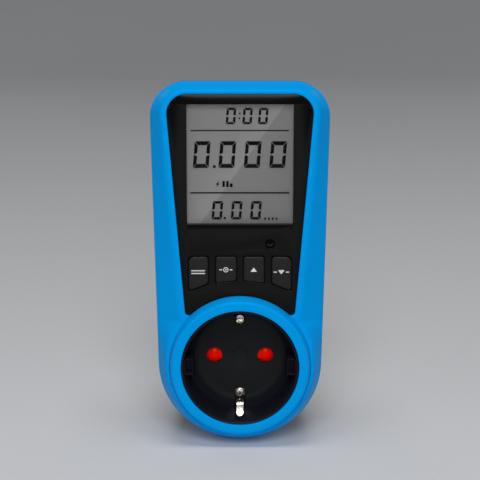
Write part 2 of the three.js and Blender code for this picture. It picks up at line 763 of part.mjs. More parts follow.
function gullWingChip(x, z, width, height, legs) {
  const front = POWER_BOARD.front;
  const body = block(x - width / 2, x + width / 2, front - 1.7, front - 0.2, z - height / 2, z + height / 2);
  const feet = Array.from({ length: legs }, (_, i) => {
    const foot = z - height / 2 + (height * (i + 0.5)) / legs;
    return block(x - width / 2 - 1, x + width / 2 + 1, front - 0.9, front - 0.05, foot - 0.25, foot + 0.25);
  });
  return joined(body, ...feet);
}

function currentShunt() {
  const legs = [-6, 6].map((x) => block(x - 1, x + 1, 24, POWER_BOARD.front - 0.05, 36.4, 37.2));
  return joined(block(-7, 7, 23.2, 24.1, 36.4, 37.2), ...legs);
}

function crystalCan(x, z) {
  const can = new THREE.CylinderGeometry(1, 1, 6, 12).rotateZ(Math.PI / 2);
  return solid(can.translate(x, at(DISPLAY_BOARD.back + 1.1), z));
}

function smoothingCapacitor(x, z) {
  const can = new THREE.CylinderGeometry(4, 4, 13, 24).rotateZ(Math.PI / 2);
  return solid(can.translate(x, at(POWER_BOARD.front - 4.15), z));
}

function varistor(x, z) {
  const disc = new THREE.CylinderGeometry(4.8, 4.8, 3, 20).rotateX(Math.PI / 2);
  return solid(disc.translate(x, at(POWER_BOARD.front - 5), z));
}

// ---------------------------------------------------------------- assembly

const housing = subassembly("housing");
place(housing, "front_shell", "blue_plastic", frontShell());
place(housing, "rear_shell", "black_plastic", rearShell());
CASE_SCREWS.forEach(([corner, x, z]) => place(housing, `case_screw_${corner}`, "steel", caseScrew(x, z)));
place(housing, "rating_label", "label_film", ratingLabel());

const display = subassembly("display");
place(display, "fascia_panel", "black_gloss", fasciaPanel());
place(display, "lcd_lens", "clear_lens", lcdPlate(-0.15, -0.15, 4.75, 6.2));
place(display, "lcd_cell", "lcd_glass", lcdPlate(0.7, 1, 7.15, 9.2));
place(display, "lcd_reflector", "reflector_film", lcdPlate(0.5, 0.8, 9.3, 9.9));
place(display, "lcd_holder", "white_plastic", lcdHolder());
place(display, "zebra_strip", "grey_rubber", zebraStrip());
place(display, "display_board", "circuit_board", displayBoard());
place(display, "controller_chip", "black_plastic", block(-6, 6, 13.65, 15.2, 60, 72));
place(display, "clock_crystal", "steel", crystalCan(12, 66));
place(display, "backup_battery", "green_sleeve", rod(-6, 50, 6, 13.65, 20.4, 28));
place(display, "ribbon_cable", "grey_rubber", ribbonCable());
BOARD_SCREWS.forEach(([side, x]) => {
  const made = screw(x, BOARD_SCREW_Z, { tip: 8, seat: 13.65, shank: 0.7, head: 1.6, rise: 1 });
  place(display, `display_board_screw_${side}`, "steel", made);
});

const keypad = subassembly("keypad");
KEYS.forEach((one) => {
  place(keypad, `${one.name}_key`, "key_plastic", key(one));
  place(keypad, `${one.name}_switch`, "black_plastic", tactSwitch(one.x, one.z, 4.6, 2.6));
  place(keypad, `${one.name}_plunger`, "white_plastic", rod(one.x, one.z, 1.1, 8.35, 10.3, 16));
});
place(keypad, "reset_switch", "black_plastic", tactSwitch(RESET.x, RESET.z, 4.6, 2.6));
place(keypad, "reset_plunger", "black_plastic", rod(RESET.x, RESET.z, 1.1, 9, 10.6, 16));

const socket = subassembly("socket");
place(socket, "socket_insert", "black_plastic", socketInsert());
[
  ["left", -EAR_X],
  ["right", EAR_X],
].forEach(([side, x]) => {
  const made = screw(x, 0, { tip: 12.5, seat: 18.35, shank: 0.85, head: 1.9, rise: 1.3 });
  place(socket, `insert_screw_${side}`, "steel", made);
});
place(socket, "safety_shutter", "red_plastic", safetyShutter());
place(socket, "shutter_spring", "steel", shutterSpring());
place(socket, "shutter_screw", "steel", screw(0, 0, { tip: 20, seat: 22.4, shank: 0.65, head: 2.8, rise: 0.8 }));
place(socket, "upper_earth_clip", "nickel", earthClip(1));
place(socket, "lower_earth_clip", "nickel", earthClip(-1));
place(socket, "upper_earth_strap", "nickel", earthStrap(1));
place(socket, "lower_earth_strap", "nickel", earthStrap(-1));
place(socket, "line_contact", "brass", pinContact(PIN_SPACING / 2));
place(socket, "neutral_contact", "brass", pinContact(-PIN_SPACING / 2));
place(socket, "contact_carrier", "white_plastic", contactCarrier());

const plug = subassembly("plug");
place(plug, "plug_nose", "black_plastic", plugNose());
place(plug, "line_pin", "nickel", plugPin(PIN_SPACING / 2));
place(plug, "neutral_pin", "nickel", plugPin(-PIN_SPACING / 2));

const power = subassembly("power");
place(power, "power_board", "circuit_board", powerBoard());
POWER_SCREWS.forEach(([side, x]) => {
  const made = screw(x, POWER_SCREW_Z, { tip: 36, seat: 28.45, shank: 0.8, head: 1.8, rise: 1.1 });
  place(power, `power_board_screw_${side}`, "steel", made);
});
place(power, "film_capacitor", "yellow_plastic", block(-17, 1, 18.4, 28.45, 80, 88));
place(power, "smoothing_capacitor", "blue_sleeve", smoothingCapacitor(-8, 70));
place(power, "varistor", "blue_sleeve", varistor(12, 78));
place(power, "metering_chip", "black_plastic", gullWingChip(8, 60, 6, 9, 6));
place(power, "current_shunt", "copper_alloy", currentShunt());
place(power, "line_lead", "brown_sleeve", lead(PIN_SPACING / 2));
place(power, "neutral_lead", "blue_sleeve", lead(-PIN_SPACING / 2));

export default meter;
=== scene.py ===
"""A plug-in power meter: blue front shell, black display panel and keys, an earthed round socket
in front and its plug behind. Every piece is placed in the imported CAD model's frame.

Outlines are drawn in millimetres as (x, z), with z measured up from the socket's axis. "Depth" is
millimetres backwards from the flat face of the socket ring, as in the CAD source.
"""

import math

import bmesh
import bpy
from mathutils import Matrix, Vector


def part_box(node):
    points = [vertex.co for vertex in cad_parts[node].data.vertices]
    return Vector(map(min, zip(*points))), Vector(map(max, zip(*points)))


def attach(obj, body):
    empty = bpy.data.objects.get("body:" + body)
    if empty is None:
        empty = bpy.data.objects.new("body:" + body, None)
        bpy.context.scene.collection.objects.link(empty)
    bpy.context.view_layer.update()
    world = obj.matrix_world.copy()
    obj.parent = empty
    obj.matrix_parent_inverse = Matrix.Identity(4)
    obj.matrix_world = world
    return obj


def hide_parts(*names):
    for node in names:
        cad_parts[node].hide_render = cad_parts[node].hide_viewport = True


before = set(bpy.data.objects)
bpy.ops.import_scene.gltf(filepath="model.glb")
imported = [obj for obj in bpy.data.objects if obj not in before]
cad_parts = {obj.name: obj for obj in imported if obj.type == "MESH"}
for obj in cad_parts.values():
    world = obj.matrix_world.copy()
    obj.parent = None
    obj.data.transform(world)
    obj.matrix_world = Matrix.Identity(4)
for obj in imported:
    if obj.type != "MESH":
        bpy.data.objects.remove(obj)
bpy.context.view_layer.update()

MM = 0.001
MERGE_DISTANCE = 1e-7
FACE_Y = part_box("front_shell")[0][1]
FLOOR_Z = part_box("front_shell")[0][2]
HOUSING = "housing"


def at(x, depth, z):
    return Vector((x * MM, FACE_Y + depth * MM, z * MM))


# ---------------------------------------------------------------- camera, light and floor

CAMERA = (0.0, -0.6146, 0.1713)
CAMERA_PITCH = 77.52
CAMERA_LENS = 120.3


def aim(obj, target):
    obj.rotation_euler = (Vector(target) - obj.location).to_track_quat("-Z", "Y").to_euler()


def add_camera():
    data = bpy.data.cameras.new("camera")
    data.sensor_width = 36
    data.lens = CAMERA_LENS
    data.clip_start = 0.01
    camera = bpy.data.objects.new("camera", data)
    camera.location = CAMERA
    camera.rotation_euler = (math.radians(CAMERA_PITCH), 0, 0)
    bpy.context.scene.collection.objects.link(camera)
    bpy.context.scene.camera = camera


def add_softbox(name, location, target, size, power):
    data = bpy.data.lights.new(name, "AREA")
    data.shape = "RECTANGLE"
    data.size, data.size_y = size
    data.energy = power
    light = bpy.data.objects.new(name, data)
    light.location = location
    aim(light, target)
    bpy.context.scene.collection.objects.link(light)


# Name, place, size in metres and power of each softbox. They all face the same point.
SOFTBOXES = [
    ("key_softbox", (0, -0.95, 0.80), (0.5, 0.5), 6.6),
    ("front_softbox", (0, -1.15, 0.30), (0.3, 0.3), 3.4),
    ("top_softbox", (0, -0.2, 1.1), (0.6, 0.4), 5),
    ("left_softbox", (-0.9, 1.0, 0.5), (0.5, 0.9), 1.8),
    ("right_softbox", (0.9, 1.0, 0.5), (0.5, 0.9), 1.8),
]
LIT_POINT = (0, -0.03, 0.04)


def add_studio():
    for name, location, size, power in SOFTBOXES:
        add_softbox(name, location, LIT_POINT, size, power)
    world = bpy.data.worlds.new("studio")
    world.use_nodes = True
    background = world.node_tree.nodes["Background"]
    background.inputs["Color"].default_value = (0.9, 0.92, 0.95, 1)
    background.inputs["Strength"].default_value = 0.04
    bpy.context.scene.world = world
    bpy.context.scene.view_settings.view_transform = "Standard"


def add_floor(material):
    """A floor that curves up into a backdrop behind the object."""
    profile = [(-2.5, 0.0), (1.1, 0.0)]
    profile += [(1.1 + math.sin(a) * 0.7, 0.7 - math.cos(a) * 0.7) for a in
                (math.radians(9 * i) for i in range(1, 11))]
    profile.append((1.8, 3.0))
    mesh = bpy.data.meshes.new("floor")
    verts = [(x, y, FLOOR_Z - 0.0002 + z) for y, z in profile for x in (-3.0, 3.0)]
    faces = [(2 * i, 2 * i + 1, 2 * i + 3, 2 * i + 2) for i in range(len(profile) - 1)]
    mesh.from_pydata(verts, [], faces)
    mesh.shade_smooth()
    floor = bpy.data.objects.new("floor", mesh)
    mesh.materials.append(material)
    bpy.context.scene.collection.objects.link(floor)


# ---------------------------------------------------------------- materials

def new_material(name):
    material = bpy.data.materials.new(name)
    material.use_nodes = True
    return material, material.node_tree.nodes, material.node_tree.links


def noise(nodes, links, scale, detail=3.0, stretch=(1, 1, 1)):
    """A noise texture in the object's own coordinates, scale in waves per metre."""
    coordinates = nodes.new("ShaderNodeTexCoord")
    mapping = nodes.new("ShaderNodeMapping")
    mapping.inputs["Scale"].default_value = stretch
    texture = nodes.new("ShaderNodeTexNoise")
    texture.inputs["Scale"].default_value = scale
    texture.inputs["Detail"].default_value = detail
    links.new(coordinates.outputs["Object"], mapping.inputs["Vector"])
    links.new(mapping.outputs["Vector"], texture.inputs["Vector"])
    return texture.outputs["Fac"]


def mix_colors(nodes, links, factor, low, high, start=0.3, stop=0.7):
    ramp = nodes.new("ShaderNodeValToRGB")
    ramp.color_ramp.elements[0].position = start
    ramp.color_ramp.elements[1].position = stop
    ramp.color_ramp.elements[0].color = (*low, 1)
    ramp.color_ramp.elements[1].color = (*high, 1)
    links.new(factor, ramp.inputs["Fac"])
    return ramp.outputs["Color"]


def map_range(nodes, links, factor, low, high):
    mapped = nodes.new("ShaderNodeMapRange")
    mapped.inputs["From Min"].default_value = 0.3
    mapped.inputs["From Max"].default_value = 0.7
    mapped.inputs["To Min"].default_value = low
    mapped.inputs["To Max"].default_value = high
    links.new(factor, mapped.inputs["Value"])
    return mapped.outputs["Result"]


def shade(color, factor):
    return tuple(min(1.0, c * factor) for c in color)


def surface(name, color, roughness, grain=2500, bump=0.05, depth=0.00002, metallic=0.0,
            specular=0.5, variation=0.06, stretch=(1, 1, 1), tint=(1, 1, 1), ior=1.5,
            sheen_scale=40):
    """A moulded, coated or metal surface: fine grain in its relief, and slow changes of colour and
    gloss over it."""
    material, nodes, links = new_material(name)
    shader = nodes["Principled BSDF"]
    shader.inputs["Metallic"].default_value = metallic
    shader.inputs["Specular IOR Level"].default_value = specular
    shader.inputs["Specular Tint"].default_value = (*tint, 1)
    shader.inputs["IOR"].default_value = ior
    slow = noise(nodes, links, sheen_scale, 2.0, stretch)
    low = shade(color, 1 - variation)
    high = shade(color, 1 + variation)
    links.new(mix_colors(nodes, links, slow, low, high), shader.inputs["Base Color"])
    fine = noise(nodes, links, grain, 4.0, stretch)
    rough = map_range(nodes, links, fine, roughness * 0.88, roughness * 1.12)
    links.new(rough, shader.inputs["Roughness"])
    relief = nodes.new("ShaderNodeBump")
    relief.inputs["Strength"].default_value = bump
    relief.inputs["Distance"].default_value = depth
    links.new(fine, relief.inputs["Height"])
    links.new(relief.outputs["Normal"], shader.inputs["Normal"])
    return material


def clear_sheet(name, alpha):
    """Clear acrylic: nearly invisible except for its gloss."""
    material, nodes, links = new_material(name)
    shader = nodes["Principled BSDF"]
    shader.inputs["Alpha"].default_value = alpha
    shader.inputs["Specular IOR Level"].default_value = 0.12
    haze = noise(nodes, links, 60, 2.0)
    links.new(mix_colors(nodes, links, haze, (0.015, 0.016, 0.016), (0.022, 0.023, 0.023)),
              shader.inputs["Base Color"])
    links.new(map_range(nodes, links, haze, 0.03, 0.06), shader.inputs["Roughness"])
    return material


def painted_reflection_grey(name, stops):
    """The display's grey with a painted reflection: a fixed diagonal change of tone across it,
    lighter to the upper left, with a bright edge just beside the diagonal. stops are
    (millimetres across the diagonal, linear grey) from its lower right to its upper left."""
    material, nodes, links = new_material(name)
    shader = nodes["Principled BSDF"]
    shader.inputs["Specular IOR Level"].default_value = 0.2
    coordinates = nodes.new("ShaderNodeTexCoord")
    across = nodes.new("ShaderNodeVectorMath")
    across.operation = "DOT_PRODUCT"
    across.inputs[1].default_value = REFLECTION_ACROSS
    links.new(coordinates.outputs["Object"], across.inputs[0])
    placed = nodes.new("ShaderNodeMapRange")
    placed.inputs["From Min"].default_value = stops[0][0] * MM
    placed.inputs["From Max"].default_value = stops[-1][0] * MM
    links.new(across.outputs["Value"], placed.inputs["Value"])
    ramp = nodes.new("ShaderNodeValToRGB")
    span = stops[-1][0] - stops[0][0]
    for i, (reach, grey) in enumerate(stops):
        share = (reach - stops[0][0]) / span
        if i < 1:
            element = ramp.color_ramp.elements[0]
        elif i == len(stops) - 1:
            element = ramp.color_ramp.elements[-1]
        else:
            element = ramp.color_ramp.elements.new(share)
        element.position = share
        element.color = (grey * 1.0, grey * 1.01, grey * 0.985, 1)
    links.new(placed.outputs["Result"], ramp.inputs["Fac"])
    links.new(ramp.outputs["Color"], shader.inputs["Base Color"])
    fine = noise(nodes, links, 5000, 3.0)
    links.new(map_range(nodes, links, fine, 0.36, 0.44), shader.inputs["Roughness"])
    relief = nodes.new("ShaderNodeBump")
    relief.inputs["Strength"].default_value = 0.02
    relief.inputs["Distance"].default_value = 0.00002
    links.new(fine, relief.inputs["Height"])
    links.new(relief.outputs["Normal"], shader.inputs["Normal"])
    return material


# Across the edge of the display's painted reflection, the diagonal that runs from the display's
# upper right towards its lower left.
REFLECTION_ACROSS = (-0.8186, 0.0, 0.5744)
REFLECTION_EDGE = 41.75

blue_plastic = surface("blue_plastic", (0.0008, 0.29, 0.73), 0.3, grain=2200, bump=0.05,
                       variation=0.02, specular=0.5, tint=(0.02, 0.6, 1.0),
                       ior=1.15)
black_plastic = surface("black_plastic", (0.0075, 0.0085, 0.0105), 0.42, grain=2600, bump=0.25,
                        specular=0.3)
well_plastic = surface("well_plastic", (0.0095, 0.0095, 0.0165), 0.38, grain=2600, bump=0.04,
                       specular=0.1, ior=1.35)
# The well floor's black is a lighter copy of the well's own: painted light on the floor, with a
# duller gloss than the wall.
floor_plastic_painted_light = surface("floor_plastic_painted_light", (0.0118, 0.0128, 0.014), 0.5, grain=2200, bump=0.12,
                        specular=0.1, ior=1.3)
black_gloss = surface("black_gloss", (0.0032, 0.0032, 0.0033), 0.1, grain=900, bump=0.01,
                      specular=0.08)
key_plastic = surface("key_plastic", (0.0095, 0.0092, 0.0088), 0.4, grain=2600, bump=0.1,
                      specular=0.15)
# The display's grey carries a painted reflection: lighter to the upper left of a diagonal,
# brightest just beside it.
lcd_grey_painted_reflection = painted_reflection_grey("lcd_grey_painted_reflection", [
    (REFLECTION_EDGE - 30, 0.166), (REFLECTION_EDGE - 8, 0.181), (REFLECTION_EDGE - 0.25, 0.187),
    (REFLECTION_EDGE + 0.25, 0.242), (REFLECTION_EDGE + 8, 0.214), (REFLECTION_EDGE + 30, 0.201)])
lcd_ink = surface("lcd_ink", (0.002, 0.002, 0.0023), 0.4, grain=3000, bump=0.02, specular=0.05)
lens_clear = clear_sheet("lens_clear", 0.03)
white_ink = surface("white_ink", (0.6, 0.62, 0.62), 0.5, grain=3000, bump=0.05, variation=0.02,
                    specular=0.2)
white_plastic = surface("white_plastic", (0.66, 0.66, 0.62), 0.5, grain=2400, bump=0.1)
film = surface("reflector_film", (0.56, 0.58, 0.56), 0.4, grain=2000, bump=0.03)
rubber = surface("grey_rubber", (0.085, 0.093, 0.1), 0.75, grain=1800, bump=0.3)
red_plastic = surface("red_plastic", (0.97, 0.004, 0.001), 0.22, grain=2200, bump=0.03,
                      specular=0.35, tint=(1.0, 0.3, 0.1), ior=1.35)
nickel = surface("nickel", (0.72, 0.68, 0.61), 0.2, grain=1600, bump=0.05, metallic=1.0,
                 stretch=(1, 0.15, 1))
brass = surface("brass", (0.6, 0.39, 0.13), 0.3, grain=1600, bump=0.06, metallic=1.0,
                stretch=(1, 0.15, 1))
steel = surface("steel", (0.34, 0.345, 0.35), 0.34, grain=1800, bump=0.1, metallic=1.0)
solder_mask = surface("solder_mask", (0.013, 0.1, 0.034), 0.35, grain=700, bump=0.2,
                      variation=0.25, sheen_scale=900, stretch=(1, 1, 0.2))
chip_resin = surface("chip_resin", (0.012, 0.012, 0.013), 0.55, grain=3500, bump=0.3)
green_sleeve = surface("green_sleeve", (0.035, 0.25, 0.065), 0.3, grain=1200, bump=0.05)
yellow_case = surface("yellow_case", (0.74, 0.46, 0.03), 0.45, grain=2000, bump=0.08)
blue_sleeve = surface("blue_sleeve", (0.022, 0.075, 0.33), 0.35, grain=1400, bump=0.06)
brown_sleeve = surface("brown_sleeve", (0.14, 0.042, 0.012), 0.45, grain=1400, bump=0.08)
copper_alloy = surface("copper_alloy", (0.4, 0.18, 0.08), 0.35, grain=1500, bump=0.06, metallic=1.0)
label_film = surface("label_film", (0.46, 0.47, 0.49), 0.32, grain=1500, bump=0.05, metallic=0.6)
floor_paper = surface("floor_paper", (0.62, 0.63, 0.65), 0.6, grain=300, bump=0.04, depth=0.0002,
                      variation=0.015, sheen_scale=3)


# ---------------------------------------------------------------- outlines in millimetres

BODY_RADIUS = 29.97
CORNER_X, CORNER_Z, CORNER_RADIUS = 19.65, 90.65, 12.5
PANEL_X, PANEL_Z, PANEL_RADIUS = 18.8, 92.4, 7.2
PANEL_TILT = -4.8
PANEL_ARC = 26.1
PANEL_FILLET = 1.4
PANEL_MARGIN = 0.9
RING_INNER, RING_OUTER, RING_BASE = 21.5, 25.15, 26.05

CREST = 3.8
PANEL_FRONT, PANEL_BACK = 4.6, 6.8
SHOULDER = 9.02
WALL_TOP = 10.4
PARTING = 22.0
HOUSING_DEPTH = 40.0
NOSE_FACE = 57.0
FRONT_DRAFT = 0.93
REAR_STEP = 0.8
WELL_DEPTH = 17.5
PIN_X = 9.5  # each pin hole and pin, from the middle
PIN_RADIUS = 2.4
PIN_LENGTH = 19.0
NOSE_RADIUS = 18.4
EAR_X = 23.9

LCD_Z, LCD_WIDTH, LCD_HEIGHT = 74.2, 38.0, 43.2


def arc(x, z, radius, start, stop, steps):
    angles = [math.radians(start + (stop - start) * i / steps) for i in range(steps + 1)]
    return [(x + radius * math.cos(a), z + radius * math.sin(a)) for a in angles]


def mirrored(outline):
    return [(-x, z) for x, z in reversed(outline)]


def lerp(a, b, share):
    return tuple(p + (q - p) * share for p, q in zip(a, b))


def rounded(corners, radii, steps=5):
    """A polygon with its corners rounded by curves that start a radius away from each."""
    outline = []
    for i, (corner, radius) in enumerate(zip(corners, radii)):
        ends = []
        for other in (corners[i - 1], corners[(i + 1) % len(corners)]):
            ends.append(lerp(corner, other, radius / math.dist(corner, other)))
        for k in range(steps + 1):
            t = k / steps
            outline.append(lerp(lerp(ends[0], corner, t), lerp(corner, ends[1], t), t))
    return outline


def rectangle(x0, x1, z0, z1):
    return [(x0, z0), (x1, z0), (x1, z1), (x0, z1)]


def rounded_rectangle(x0, x1, z0, z1, radius, steps=5):
    return rounded(rectangle(x0, x1, z0, z1), [radius] * 4, steps)


def circle(x, z, radius, steps=48):
    return arc(x, z, radius, 0, 360, steps)[:-1]


SIDE_ANGLE = math.degrees(
    math.atan2(CORNER_Z, CORNER_X)
    - math.acos((BODY_RADIUS - CORNER_RADIUS) / math.hypot(CORNER_X, CORNER_Z)))
BOTTOM_STEPS = 110
CORNER_STEPS = 26
SIDE_HEIGHTS = [4.5 + 0.5 * i for i in range(40)] + [25 + 3.5 * i for i in range(19)]


def closed_loop(bottom, side, corner):
    """Half of a loop, up the right side and round the top corner, joined to its mirror image."""
    right = side + corner
    return bottom + right + mirrored(right)


def body_outline(inset=0.0):
    bottom = arc(0, 0, BODY_RADIUS - inset, 180 - SIDE_ANGLE, 360 + SIDE_ANGLE, BOTTOM_STEPS)
    corner = arc(CORNER_X, CORNER_Z, CORNER_RADIUS - inset, SIDE_ANGLE, 90, CORNER_STEPS)
    foot = bottom[-1]
    side = [lerp(foot, corner[0], (z - foot[1]) / (corner[0][1] - foot[1])) for z in SIDE_HEIGHTS]
    return closed_loop(bottom, side, corner)


def panel_side(z, inset=0.0):
    """X of the panel's straight side at a height, moved inwards by inset."""
    across = math.cos(math.radians(PANEL_TILT))
    up = math.sin(math.radians(PANEL_TILT))
    reach = PANEL_X * across + PANEL_Z * up + PANEL_RADIUS - inset
    return (reach - z * up) / across


def panel_fillet(inset=0.0):
    """The lower corner's rounding: its centre and the angle at which it meets the ring's arc."""
    across = math.cos(math.radians(PANEL_TILT))
    up = math.sin(math.radians(PANEL_TILT))
    reach = panel_side(0, inset) * across - PANEL_FILLET
    along = math.sqrt((PANEL_ARC + inset + PANEL_FILLET) ** 2 - reach ** 2)
    centre = (across * reach - up * along, up * reach + across * along)
    return centre, math.degrees(math.atan2(-centre[1], -centre[0]))


def panel_outline(inset=0.0):
    centre, towards = panel_fillet(inset)
    foot = arc(*centre, PANEL_FILLET, towards, PANEL_TILT, 12)
    corner = arc(PANEL_X, PANEL_Z, PANEL_RADIUS - inset, PANEL_TILT, 90, 24)
    right = foot + corner
    rise = 180 + towards
    bottom = arc(0, 0, PANEL_ARC + inset, 180 - rise, rise, 48)[1:-1]
    return right + mirrored(right) + bottom


def crest_outline(margin=PANEL_MARGIN):
    """The inner end of the frame's slope, point for point with the body's outline."""
    ring = RING_BASE + 0.25
    bottom = arc(0, 0, ring, 180 - SIDE_ANGLE, 360 + SIDE_ANGLE, BOTTOM_STEPS)
    side = []
    for z in SIDE_HEIGHTS:
        on_ring = math.sqrt(max(0.0, ring * ring - z * z))
        side.append((max(on_ring, panel_side(z, -margin)), z))
    corner = arc(PANEL_X, PANEL_Z, PANEL_RADIUS + margin, PANEL_TILT, 90, CORNER_STEPS)
    return closed_loop(bottom, side, corner)


def opening_outline():
    """The edge of the frame's opening: the panel's outline, then the circle under the ring."""
    under_ring = RING_BASE - 0.15
    centre, towards = panel_fillet()
    cusp_angle = 180 + towards
    split, join = 17.0, 23.0
    foot_z = BODY_RADIUS * math.sin(math.radians(SIDE_ANGLE))
    fillet = arc(*centre, PANEL_FILLET, towards, PANEL_TILT, 24)
    side = []
    for z in SIDE_HEIGHTS:
        if z >= join:
            side.append((panel_side(z), z))
        elif z >= split:
            share = (z - split) / (join - split)
            if share < 0.7:
                side.append(fillet[round(share / 0.7 * 24)])
            else:
                side.append(lerp(fillet[-1], (panel_side(join), join), (share - 0.7) / 0.3))
        else:
            share = (z - foot_z) / (split - foot_z)
            angle = math.radians(SIDE_ANGLE + (cusp_angle - SIDE_ANGLE) * share)
            side.append((under_ring * math.cos(angle), under_ring * math.sin(angle)))
    bottom = arc(0, 0, under_ring, 180 - SIDE_ANGLE, 360 + SIDE_ANGLE, BOTTOM_STEPS)
    corner = arc(PANEL_X, PANEL_Z, PANEL_RADIUS, PANEL_TILT, 90, CORNER_STEPS)
    return closed_loop(bottom, side, corner)


# ---------------------------------------------------------------- meshes

def finish_piece(obj, material, body, replaces=(), angle=35):
    if material:
        obj.data.materials.clear()
        obj.data.materials.append(material)
    bpy.context.view_layer.objects.active = obj
    obj.data.shade_smooth()
    obj.data.set_sharp_from_angle(angle=math.radians(angle))
    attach(obj, body)
    if replaces:
        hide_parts(*replaces)
    return obj


def mesh_object(name, verts, faces):
    mesh = bpy.data.meshes.new(name)
    mesh.from_pydata(verts, [], faces)
    work = bmesh.new()
    work.from_mesh(mesh)
    bmesh.ops.remove_doubles(work, verts=work.verts, dist=1e-6)
    bmesh.ops.recalc_face_normals(work, faces=work.faces)
    work.to_mesh(mesh)
    work.free()
    obj = bpy.data.objects.new(name, mesh)
    bpy.context.scene.collection.objects.link(obj)
    return obj


def loft(loops, caps=(False, False)):
    """Vertices and faces of closed loops of 3-D points, joined in turn."""
    count = len(loops[0])
    verts = [point for loop in loops for point in loop]
    faces = []
    for row in range(len(loops) - 1):
        for i in range(count):
            a = row * count + i
            b = row * count + (i + 1) % count
            faces.append((a, b, b + count, a + count))
    if caps[0]:
        faces.append(tuple(range(count)))
    if caps[1]:
        last = (len(loops) - 1) * count
        faces.append(tuple(last + i for i in reversed(range(count))))
    return verts, faces


def combined(*pieces):
    """Several (verts, faces) as one."""
    verts, faces = [], []
    for more_verts, more_faces in pieces:
        offset = len(verts)
        verts += more_verts
        faces += [tuple(i + offset for i in face) for face in more_faces]
    return verts, faces


def revolved(profile, x=0.0, z=0.0, steps=128):
    """Vertices and faces of a profile of (radius, depth) turned round an axis along Y."""
    loops = []
    for radius, depth in profile:
        ring = circle(x, z, max(radius, 1e-4), steps)
        loops.append([at(px, depth, pz) for px, pz in ring])
    return loft(loops)


def eased(profile, radius=0.3, steps=4, keep_ends=True):
    """A profile with its corners rounded."""
    points = [profile[0]] if keep_ends else []
    for before, corner, after in zip(profile, profile[1:], profile[2:]):
        reach_in = min(radius, math.dist(before, corner) * 0.45)
        reach_out = min(radius, math.dist(corner, after) * 0.45)
        start = lerp(corner, before, reach_in / math.dist(before, corner))
        stop = lerp(corner, after, reach_out / math.dist(corner, after))
        for k in range(steps + 1):
            t = k / steps
            points.append(lerp(lerp(start, corner, t), lerp(corner, stop, t), t))
    return points + [profile[-1]]


def plate(name, outlines, front, back, bevel=0.2, resolution=3):
    """A plate between two depths, with rounded edges. Outlines inside the first are its holes."""
    curve = bpy.data.curves.new(name, "CURVE")
    curve.dimensions = "2D"
    curve.fill_mode = "BOTH"
    for outline in outlines:
        spline = curve.splines.new("POLY")
        spline.points.add(len(outline) - 1)
        for point, (x, z) in zip(spline.points, outline):
            point.co = (x * MM, z * MM, 0, 1)
        spline.use_cyclic_u = True
    curve.bevel_depth = bevel * MM
    curve.bevel_resolution = resolution
    curve.offset = -bevel * MM
    curve.extrude = ((back - front) / 2 - bevel) * MM
    maker = bpy.data.objects.new(name, curve)
    bpy.context.scene.collection.objects.link(maker)
    graph = bpy.context.evaluated_depsgraph_get()
    mesh = bpy.data.meshes.new_from_object(maker.evaluated_get(graph))
    bpy.data.objects.remove(maker)
    bpy.data.curves.remove(curve)
    middle = at(0, (front + back) / 2, 0)
    for vertex in mesh.vertices:
        x, z, towards = vertex.co
        vertex.co = (x, middle.y - towards, z)
    work = bmesh.new()
    work.from_mesh(mesh)
    bmesh.ops.remove_doubles(work, verts=work.verts, dist=MERGE_DISTANCE)
    bmesh.ops.recalc_face_normals(work, faces=work.faces)
    work.to_mesh(mesh)
    work.free()
    obj = bpy.data.objects.new(name, mesh)
    bpy.context.scene.collection.objects.link(obj)
    return obj


def join(name, objects):
    bpy.ops.object.select_all(action="DESELECT")
    for obj in objects:
        obj.select_set(True)
    bpy.context.view_layer.objects.active = objects[0]
    bpy.ops.object.join()
    objects[0].name = name
    return objects[0]


def box_cutter(x0, x1, front, back, z0, z1):
    verts = [at(x, depth, z) for x in (x0, x1) for depth in (front, back) for z in (z0, z1)]
    faces = [(0, 1, 3, 2), (4, 6, 7, 5), (0, 4, 5, 1), (2, 3, 7, 6), (0, 2, 6, 4), (1, 5, 7, 3)]
    return mesh_object("cutter", verts, faces)


def rod_cutter(x, z, radius, front, back, steps=48):
    loops = [[at(px, depth, pz) for px, pz in circle(x, z, radius, steps)]
             for depth in (front, back)]
    return mesh_object("cutter", *loft(loops, caps=(True, True)))


def cut_away(obj, cutters):
    for cutter in cutters:
        modifier = obj.modifiers.new("cut", "BOOLEAN")
        modifier.operation = "DIFFERENCE"
        modifier.solver = "EXACT"
        modifier.object = cutter
        bpy.context.view_layer.objects.active = obj
        bpy.ops.object.modifier_apply(modifier=modifier.name)
        bpy.data.objects.remove(cutter)


def bevel_edges(obj, width, angle=40, segments=2):
    modifier = obj.modifiers.new("bevel", "BEVEL")
    modifier.width = width * MM
    modifier.segments = segments
    modifier.limit_method = "ANGLE"
    modifier.angle_limit = math.radians(angle)
    modifier.harden_normals = False
    bpy.context.view_layer.objects.active = obj
    bpy.ops.object.modifier_apply(modifier=modifier.name)


# ---------------------------------------------------------------- housing

